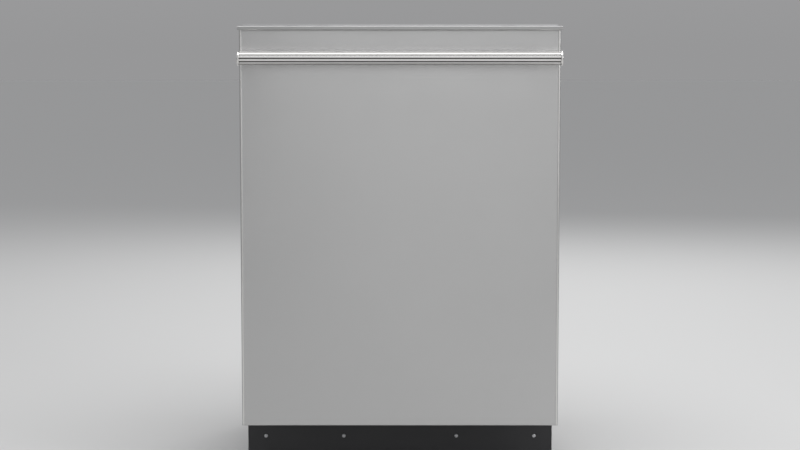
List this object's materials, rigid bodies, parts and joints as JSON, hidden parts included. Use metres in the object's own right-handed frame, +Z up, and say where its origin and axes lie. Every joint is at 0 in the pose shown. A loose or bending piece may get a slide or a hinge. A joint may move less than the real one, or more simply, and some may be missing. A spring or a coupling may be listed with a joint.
{
  "type": "built in dishwasher",
  "caption": "Built in dishwasher with a brushed stainless door, ribbed bar handle, top cap, tub, pumps, spray arms, sliding racks and levelling feet.",
  "frame": {"origin": "on the floor, under the middle of the whole machine", "axes": "+Z up, +X to the right of someone facing the door, the door faces -Y"},
  "size_m": [0.602, 0.6614, 0.86],
  "materials": {
    "stainless": "horizontally brushed",
    "bar_steel": "satin, ribbed",
    "tub_steel": "bright satin",
    "zinc": "zinc plated",
    "black_steel": "black powder coat",
    "dark_plastic": "moulded",
    "grey_plastic": "moulded",
    "lid_plastic": "moulded",
    "key_plastic": "satin key caps",
    "clear_plastic": "translucent",
    "rubber": "matte",
    "hose_rubber": "matte",
    "felt": "needled felt",
    "board": "printed circuit board",
    "motor": "cast",
    "rack_wire": "nylon coated wire"
  },
  "bodies": {
    "cabinet": {"tub_wrap": "tub_steel", "tub_back_wall": "tub_steel", "tub_floor": "tub_steel", "tub_gasket": "rubber", "front_frame": "tub_steel", "sound_blanket": "felt", "air_break": "clear_plastic", "base_tray": "dark_plastic", "toe_kick": "black_steel", "sump": "grey_plastic", "filter_plate": "tub_steel", "wash_pump": "motor", "drain_pump": "grey_plastic", "pump_hose": "hose_rubber", "riser_tube": "grey_plastic", "inlet_valve": "grey_plastic", "junction_box": "zinc", "latch_strike": "zinc", "hinge_brackets": "zinc", "door_springs": "zinc", "fixed_rails": "tub_steel", "cabinet_screws": "zinc"},
    "door": {"door_panel": "stainless", "door_cap": "stainless", "handle_bar": "bar_steel", "handle_end_left": "bar_steel", "handle_end_right": "bar_steel", "door_liner": "tub_steel", "door_seal": "rubber", "control_fascia": "dark_plastic", "control_board": "board", "latch_case": "dark_plastic", "dispenser_case": "grey_plastic", "hinge_arms": "zinc", "door_screws": "zinc"},
    "latch_claw_body": {"latch_claw": "zinc"},
    "detergent_lid_body": {"detergent_lid": "lid_plastic"},
    "rinse_cap_body": {"rinse_cap": "lid_plastic"},
    "key_power_body": {"key_power": "key_plastic"},
    "key_program_body": {"key_program": "key_plastic"},
    "key_start_body": {"key_start": "key_plastic"},
    "foot_front_left_body": {"foot_front_left": "dark_plastic"},
    "foot_front_right_body": {"foot_front_right": "dark_plastic"},
    "foot_rear_left_body": {"foot_rear_left": "dark_plastic"},
    "foot_rear_right_body": {"foot_rear_right": "dark_plastic"},
    "filter_cup_body": {"filter_cup": "grey_plastic"},
    "lower_arm_body": {"lower_spray_arm": "grey_plastic"},
    "ceiling_arm_body": {"ceiling_spray_arm": "grey_plastic"},
    "lower_rack_body": {"lower_rack": "rack_wire"},
    "wheels_front_body": {"wheels_front": "grey_plastic"},
    "wheels_rear_body": {"wheels_rear": "grey_plastic"},
    "tines_left_body": {"tines_left": "rack_wire"},
    "tines_right_body": {"tines_right": "rack_wire"},
    "upper_rack_body": {"upper_rack": "rack_wire", "upper_manifold": "grey_plastic"},
    "middle_rails_body": {"middle_rails": "zinc"},
    "upper_arm_body": {"upper_spray_arm": "grey_plastic"},
    "cup_shelf_left_body": {"cup_shelf_left": "lid_plastic"},
    "cup_shelf_right_body": {"cup_shelf_right": "lid_plastic"},
    "cutlery_tray_body": {"cutlery_tray": "lid_plastic"}
  },
  "joints": [
    {"name": "door_hinge", "type": "hinge", "parent": "cabinet", "child": "door", "pos_m": [0, -0.205, 0.15], "axis": [1, 0, 0], "range_deg": [0, 90], "deforming": ["door_springs"]},
    {"name": "upper_rack_slide", "type": "slide", "parent": "cabinet", "child": "upper_rack_body", "axis": [0, -1, 0], "range_m": [0, 0.46]},
    {"name": "middle_rails_slide", "type": "slide", "parent": "cabinet", "child": "middle_rails_body", "axis": [0, -1, 0], "range_m": [0, 0.23]},
    {"name": "cutlery_tray_slide", "type": "slide", "parent": "cabinet", "child": "cutlery_tray_body", "axis": [0, -1, 0], "range_m": [0, 0.41]},
    {"name": "lower_rack_slide", "type": "slide", "parent": "cabinet", "child": "lower_rack_body", "axis": [0, -1, 0], "range_m": [0, 0.18]},
    {"name": "wheels_front_spin", "type": "hinge", "parent": "lower_rack_body", "child": "wheels_front_body", "pos_m": [0, -0.12, 0.182], "axis": [1, 0, 0], "range_deg": [0, 560]},
    {"name": "wheels_rear_spin", "type": "hinge", "parent": "lower_rack_body", "child": "wheels_rear_body", "pos_m": [0, 0.23, 0.182], "axis": [1, 0, 0], "range_deg": [0, 560]},
    {"name": "tines_left_fold", "type": "hinge", "parent": "lower_rack_body", "child": "tines_left_body", "pos_m": [-0.12, 0.056, 0.218], "axis": [0, 1, 0], "range_deg": [0, 84]},
    {"name": "tines_right_fold", "type": "hinge", "parent": "lower_rack_body", "child": "tines_right_body", "pos_m": [0.12, 0.056, 0.218], "axis": [0, -1, 0], "range_deg": [0, 84]},
    {"name": "cup_shelf_left_fold", "type": "hinge", "parent": "upper_rack_body", "child": "cup_shelf_left_body", "pos_m": [-0.229, 0, 0.604], "axis": [0, -1, 0], "range_deg": [0, 88]},
    {"name": "cup_shelf_right_fold", "type": "hinge", "parent": "upper_rack_body", "child": "cup_shelf_right_body", "pos_m": [0.229, 0, 0.604], "axis": [0, 1, 0], "range_deg": [0, 88]},
    {"name": "lower_arm_spin", "type": "hinge", "parent": "cabinet", "child": "lower_arm_body", "pos_m": [0, 0.05, 0.184], "axis": [0, 0, 1], "continuous": true},
    {"name": "upper_arm_spin", "type": "hinge", "parent": "upper_rack_body", "child": "upper_arm_body", "pos_m": [0, 0.05, 0.49], "axis": [0, 0, 1], "continuous": true},
    {"name": "ceiling_arm_spin", "type": "hinge", "parent": "cabinet", "child": "ceiling_arm_body", "pos_m": [0, 0.05, 0.803], "axis": [0, 0, 1], "continuous": true},
    {"name": "filter_cup_turn", "type": "hinge", "parent": "cabinet", "child": "filter_cup_body", "pos_m": [0.046, 0.026, 0.13], "axis": [0, 0, 1], "range_deg": [0, 90]},
    {"name": "detergent_lid_slide", "type": "slide", "parent": "door", "child": "detergent_lid_body", "axis": [0, 0, 1], "range_m": [0, 0.05]},
    {"name": "rinse_cap_turn", "type": "hinge", "parent": "door", "child": "rinse_cap_body", "pos_m": [0.124, -0.2, 0.495], "axis": [0, 1, 0], "range_deg": [0, 90]},
    {"name": "latch_claw_turn", "type": "hinge", "parent": "door", "child": "latch_claw_body", "pos_m": [0, -0.238, 0.837], "axis": [1, 0, 0], "range_deg": [0, 18], "stiffness_Nm_per_rad": 0.5, "springref_deg": -5.73},
    {"name": "push_power", "type": "slide", "parent": "door", "child": "key_power_body", "axis": [0, 0, -1], "range_m": [0, 0.0015], "stiffness_N_per_m": 600, "springref_m": -0.001},
    {"name": "push_program", "type": "slide", "parent": "door", "child": "key_program_body", "axis": [0, 0, -1], "range_m": [0, 0.0015], "stiffness_N_per_m": 600, "springref_m": -0.001},
    {"name": "push_start", "type": "slide", "parent": "door", "child": "key_start_body", "axis": [0, 0, -1], "range_m": [0, 0.0015], "stiffness_N_per_m": 600, "springref_m": -0.001},
    {"name": "turn_foot_front_left", "type": "hinge", "parent": "cabinet", "child": "foot_front_left_body", "pos_m": [-0.25, -0.118, 0.01], "axis": [0, 0, 1], "continuous": true},
    {"name": "turn_foot_front_right", "type": "hinge", "parent": "cabinet", "child": "foot_front_right_body", "pos_m": [0.25, -0.118, 0.01], "axis": [0, 0, 1], "continuous": true},
    {"name": "turn_foot_rear_left", "type": "hinge", "parent": "cabinet", "child": "foot_rear_left_body", "pos_m": [-0.25, 0.27, 0.01], "axis": [0, 0, 1], "continuous": true},
    {"name": "turn_foot_rear_right", "type": "hinge", "parent": "cabinet", "child": "foot_rear_right_body", "pos_m": [0.25, 0.27, 0.01], "axis": [0, 0, 1], "continuous": true}
  ],
  "couplings": [
    {"joint": "upper_rack_slide", "follows": "door_hinge", "m_per_rad": 0.286},
    {"joint": "middle_rails_slide", "follows": "door_hinge", "m_per_rad": 0.143},
    {"joint": "cutlery_tray_slide", "follows": "door_hinge", "m_per_rad": 0.255},
    {"joint": "lower_rack_slide", "follows": "door_hinge", "m_per_rad": 0.11},
    {"joint": "wheels_front_spin", "follows": "door_hinge", "ratio": 6.1},
    {"joint": "wheels_rear_spin", "follows": "door_hinge", "ratio": 6.1}
  ]
}
